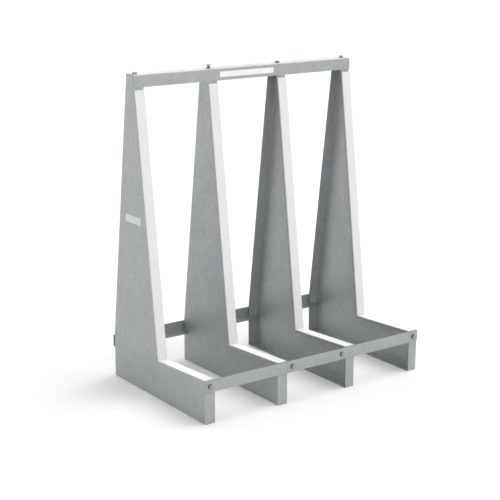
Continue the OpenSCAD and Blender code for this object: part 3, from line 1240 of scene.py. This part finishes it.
@dataclass
class FastenerRow:
    """One row of bolts with their washers and nuts.

    Attributes:
        name: First word of the row's pieces and nodes.
        seats: Where each bolt's axis meets the outside of its upper washer, before the row is turned.
        turn: Turn that brings +Z to the bolts' axes, in radians about X, Y and Z.
        rises: How far each bolt stands proud of its seat.
    """

    name: str
    seats: list[Vector]
    turn: Vector
    rises: list[float]
    sizes: RackSizes

    def levels(self, kind: Fastener) -> list[list[float]]:
        """Heights above each seat at which fasteners of a kind stand."""
        sizes = self.sizes
        if kind is Fastener.BOLT:
            return [[rise] for rise in self.rises]
        behind = -2 * sizes.sheet - 2 * sizes.washer_thickness
        same = [-sizes.washer_thickness, behind] if kind is Fastener.WASHER else [behind - sizes.nut]
        return [same for _ in self.seats]

    def build(self, kind: Fastener, tree: NodeTree, finishes: Finishes) -> None:
        """Builds and dresses the row's fasteners of one kind."""
        seated = zip(self.seats, self.levels(kind))
        spots = [seat + UP * level for seat, levels in seated for level in levels]
        mesh = bpy.data.meshes.new("seats")
        mesh.from_pydata(spots, [], [])
        row = new_object(f"{self.name}_row_of_{kind.value}", mesh)
        step = row.modifiers.new("row", "NODES")
        step.node_group = tree
        sockets = tree.interface.items_tree
        named = {socket.name: socket.identifier for socket in sockets if socket.in_out == "INPUT"}
        step[named["Turn"]] = tuple(self.turn)
        # Painted shade: the washers and the threads take the dark zinc.
        step[named["Finish"]] = finishes.dark_zinc if kind is Fastener.WASHER else finishes.light_zinc
        step[named["Thread Finish"]] = finishes.dark_zinc
        piece = bake(row)
        # The first slot is the seats' own and empty, and the finishes follow it.
        piece.data.materials.pop(index=0)
        smooth_by_angle(piece.data)
        settle(piece, (), (f"{self.name}_{kind.value}",))


@dataclass
class Fasteners:
    """The top and the front row of bolts."""

    sizes: RackSizes

    def rows(self) -> list[FastenerRow]:
        """Both rows, each one's seats in the row's own axes."""
        sizes = self.sizes
        top_z = sizes.top_rail_top + sizes.washer_thickness
        front_y = sizes.front_rail_front - sizes.washer_thickness
        top = [Vector((x, sizes.top_bolt_y, top_z)) for x in sizes.top_bolt_x]
        front = [Vector((x, sizes.front_bolt_height, -front_y)) for x in sizes.front_bolt_x]
        flat = [0.0] * len(top)
        return [
            FastenerRow("top", top, Vector(), [0.0, sizes.loose_rise, 0.0, 0.0], sizes),
            FastenerRow("front", front, Vector((math.pi / 2, 0, 0)), flat, sizes),
        ]

    def build(self, finishes: Finishes) -> None:
        """Builds and dresses both rows."""
        makers = {Fastener.BOLT: bolt_tree, Fastener.WASHER: washer_tree, Fastener.NUT: nut_tree}
        trees = {kind: maker(self.sizes) for kind, maker in makers.items()}
        for row, (kind, tree) in product(self.rows(), trees.items()):
            row.build(kind, tree, finishes)


@dataclass(frozen=True)
class LabelPlate:
    """A thin plate with rounded corners.

    Attributes:
        name: Name of the piece.
        centre: Middle of the face that it lies on.
        length: Its size along the first direction.
        height: Its size upwards.
        along: Direction of its length.
        out: Direction in which it faces.
        corner: Radius of its corners.
    """

    name: str
    centre: Vector
    length: float
    height: float
    along: Vector
    out: Vector
    corner: float = 0.004

    def solid(self, low: float, high: float, margin: float = 0.0) -> Piece:
        """The plate between two levels over the face that it lies on, larger all round by a margin."""
        right, top = self.length / 2 - self.corner, self.height / 2 - self.corner
        profile = []
        for number, (a, b) in enumerate(((right, top), (-right, top), (-right, -top), (right, -top))):
            profile += arc((a, b), self.corner + margin, 90 * number, 90 * number + 90)
        levels = [self.centre + self.out * level for level in (low, high)]
        return prism(self.name, profile, *levels, self.along)


@dataclass
class BareLabels:
    """The two label places, both left bare: a strip on the top rail and a sticker on the left end frame.

    The strip stands proud of the rail. The sticker lies flush in a recess, as the frame's web is the rack's
    end.
    """

    sizes: RackSizes
    film: float = 0.0006
    recess: float = 0.0003
    play: float = 0.0001
    strip_size: tuple[float, float] = (0.314, 0.026)
    strip_shift: float = -0.004
    strip_height: float = 1.4735
    sticker_size: tuple[float, float] = (0.136, 0.036)
    sticker_depth: float = 0.205
    sticker_height: float = 0.827

    def strip(self) -> LabelPlate:
        """Place of the strip on the top rail."""
        centre = Vector((self.strip_shift, self.sizes.top_rail_front, self.strip_height))
        return LabelPlate("top_rail_bare_label", centre, *self.strip_size, RIGHT, -REARWARD)

    def sticker(self) -> LabelPlate:
        """Place of the sticker on the left end frame."""
        centre = Vector((-self.sizes.length / 2, self.sizes.rear_y - self.sticker_depth, self.sticker_height))
        return LabelPlate("end_frame_bare_sticker", centre, *self.sticker_size, -REARWARD, -RIGHT)

    def sticker_recess(self) -> Piece:
        """Cutter of the sticker's recess."""
        return self.sticker().solid(-self.recess, CUT_OVERRUN, self.play)

    def build(self, finishes: Finishes) -> None:
        """Builds and dresses both labels."""
        strip = ease_edges(self.strip().solid(0.0, self.film), self.film / 4)
        sticker = ease_edges(self.sticker().solid(-self.recess, 0.0), self.recess / 4)
        for piece, film in ((strip, finishes.strip_film), (sticker, finishes.sticker_film)):
            settle(piece, (film,) * MATERIAL_SLOTS)


@dataclass(frozen=True)
class Lamp:
    """A broad distant lamp.

    Attributes:
        name: Name of the lamp.
        strength: Its power over each square metre that faces it, in watts.
        travel: Direction in which its light travels.
        spread: Angle that it fills in the sky, in degrees.
    """

    name: str
    strength: float
    travel: Triple
    spread: float

    def build(self) -> None:
        """Hangs the lamp."""
        lamp = bpy.data.lights.new(self.name, "SUN")
        lamp.energy = self.strength
        lamp.angle = math.radians(self.spread)
        turn = Vector(self.travel).to_track_quat("-Z", "Y")
        new_object(self.name, lamp).rotation_euler = turn.to_euler()


@dataclass(frozen=True)
class Studio:
    """Pale floor and surroundings, soft light from above and all round, and the photograph's camera.

    The key lamp brightens tops and throws a soft shadow to the left. The other lamps are the glow of a pale
    studio: two behind the rack, one in front of it and one to its left.
    """

    lens: float = 93.157038
    camera_place: Triple = (-3.609937, -4.891995, 2.213265)
    camera_turn: Triple = (75.378434, -0.053249, -35.624462)
    floor_reach: float = 30.0
    sensor_width: float = 36.0
    view_reach: float = 200.0
    floor_colour: Colour = (0.97, 0.97, 0.97)
    floor_mottle: Colour = (0.8, 0.8, 0.8)
    mottles: Noise = Noise(3.0, 4.0)
    mottle_source: Range = (0.3, 0.7)
    mottle_share: float = 0.02
    floor_lift: float = 0.05
    sky: float = 0.02
    lamps: tuple[Lamp, ...] = (
        Lamp("key_lamp", 2.02, (-0.50, 0.15, -0.85), 52.0),
        Lamp("back_lamp", 1.34, (0.10, -0.90, -0.42), 90.0),
        Lamp("right_back_lamp", 1.03, (-0.45, -0.80, -0.40), 90.0),
        Lamp("front_lamp", 0.94, (0.20, 0.90, -0.38), 60.0),
        Lamp("left_lamp", 0.79, (0.70, 0.60, -0.39), 60.0),
    )

    def floor(self) -> None:
        """Lays the floor."""
        coat = Coat("studio_floor")
        noise = coat.noise(coat.place, self.mottles)
        mottles = coat.spread(noise, self.mottle_source, (0.0, self.mottle_share))
        camera_ray = coat.node("ShaderNodeLightPath").outputs["Is Camera Ray"]
        coat.dress({
            "Base Color": coat.blend_colours(mottles, self.floor_colour, self.floor_mottle),
            "Roughness": 1.0,
            "Specular IOR Level": 0.0,
            "Emission Color": WHITE,
            "Emission Strength": coat.times(camera_ray, self.floor_lift),
        })
        reach = self.floor_reach
        mesh = bpy.data.meshes.new("studio_floor")
        corners = [(-reach, -reach, 0), (reach, -reach, 0), (reach, reach, 0), (-reach, reach, 0)]
        mesh.from_pydata(corners, [], [range(len(corners))])
        floor = new_object("studio_floor", mesh)
        floor.data.materials.append(coat.material)

    @staticmethod
    def seen(tree: Tree) -> NodeSocket:
        """One on the rays of the camera, reflections and glass, zero on the rays that light the rack."""
        path = tree.node("ShaderNodeLightPath")
        seen = tree.calculate("MAXIMUM", path.outputs["Is Camera Ray"], path.outputs["Is Glossy Ray"])
        return tree.calculate("MAXIMUM", seen, path.outputs["Is Transmission Ray"])

    def surroundings(self) -> None:
        """Soft white sky, which the camera and reflections see as plain white."""
        world = bpy.data.worlds.new("studio_sky")
        world.use_nodes = True
        bpy.context.scene.world = world
        tree = Tree(world.node_tree)
        background = world.node_tree.nodes["Background"]
        tree.feed(background.inputs["Strength"], tree.spread(self.seen(tree), (0.0, 1.0), (self.sky, 1.0)))
        background.inputs["Color"].default_value = WHITE

    def camera(self) -> None:
        """Camera at the photograph's viewing angle."""
        eye = bpy.data.cameras.new("camera")
        eye.lens = self.lens
        eye.sensor_width = self.sensor_width
        eye.clip_end = self.view_reach
        holder = new_object("camera", eye)
        holder.location = self.camera_place
        holder.rotation_euler = [math.radians(angle) for angle in self.camera_turn]
        bpy.context.scene.camera = holder

    def build(self) -> None:
        """Sets up the studio."""
        self.floor()
        self.surroundings()
        for lamp in self.lamps:
            lamp.build()
        self.camera()
        bpy.context.scene.view_settings.view_transform = "Standard"
        LOG.info("studio: floor, sky, %d lamps and camera", len(self.lamps))


def main() -> None:
    """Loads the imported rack, dresses it and sets it in the studio."""
    logging.basicConfig(level=logging.INFO, format="%(message)s")
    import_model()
    sizes = RackSizes()
    finishes = Finishes()
    labels = BareLabels(sizes)
    for assembly in (SideFrames(sizes, labels), Liners(sizes), Rails(sizes), Fasteners(sizes), labels):
        assembly.build(finishes)
    Studio().build()


if __name__ == "__main__":
    main()
